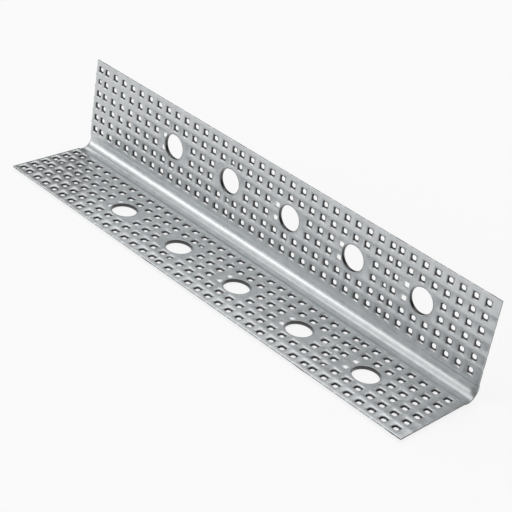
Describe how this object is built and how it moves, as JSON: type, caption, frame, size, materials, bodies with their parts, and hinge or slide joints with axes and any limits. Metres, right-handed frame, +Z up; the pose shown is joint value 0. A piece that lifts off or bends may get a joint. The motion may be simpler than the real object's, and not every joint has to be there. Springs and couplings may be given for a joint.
{
  "type": "drywall corner bead",
  "caption": "Perforated sheet-steel corner bead: two equal legs at a right angle, a round nose, punched nail holes and rows of small pierced holes.",
  "frame": {"origin": "on the floor plane, under the middle of the outline", "axes": "+X along the length, +Z up along the standing leg, which is at the +Y side; the other leg lies flat towards -Y"},
  "size_m": [0.165, 0.0322, 0.0322],
  "materials": {
    "galvanised_steel": "zinc-coated sheet, dull bright with fine spangle"
  },
  "bodies": {
    "root": {"corner_bead": "galvanised_steel"}
  },
  "joints": []
}
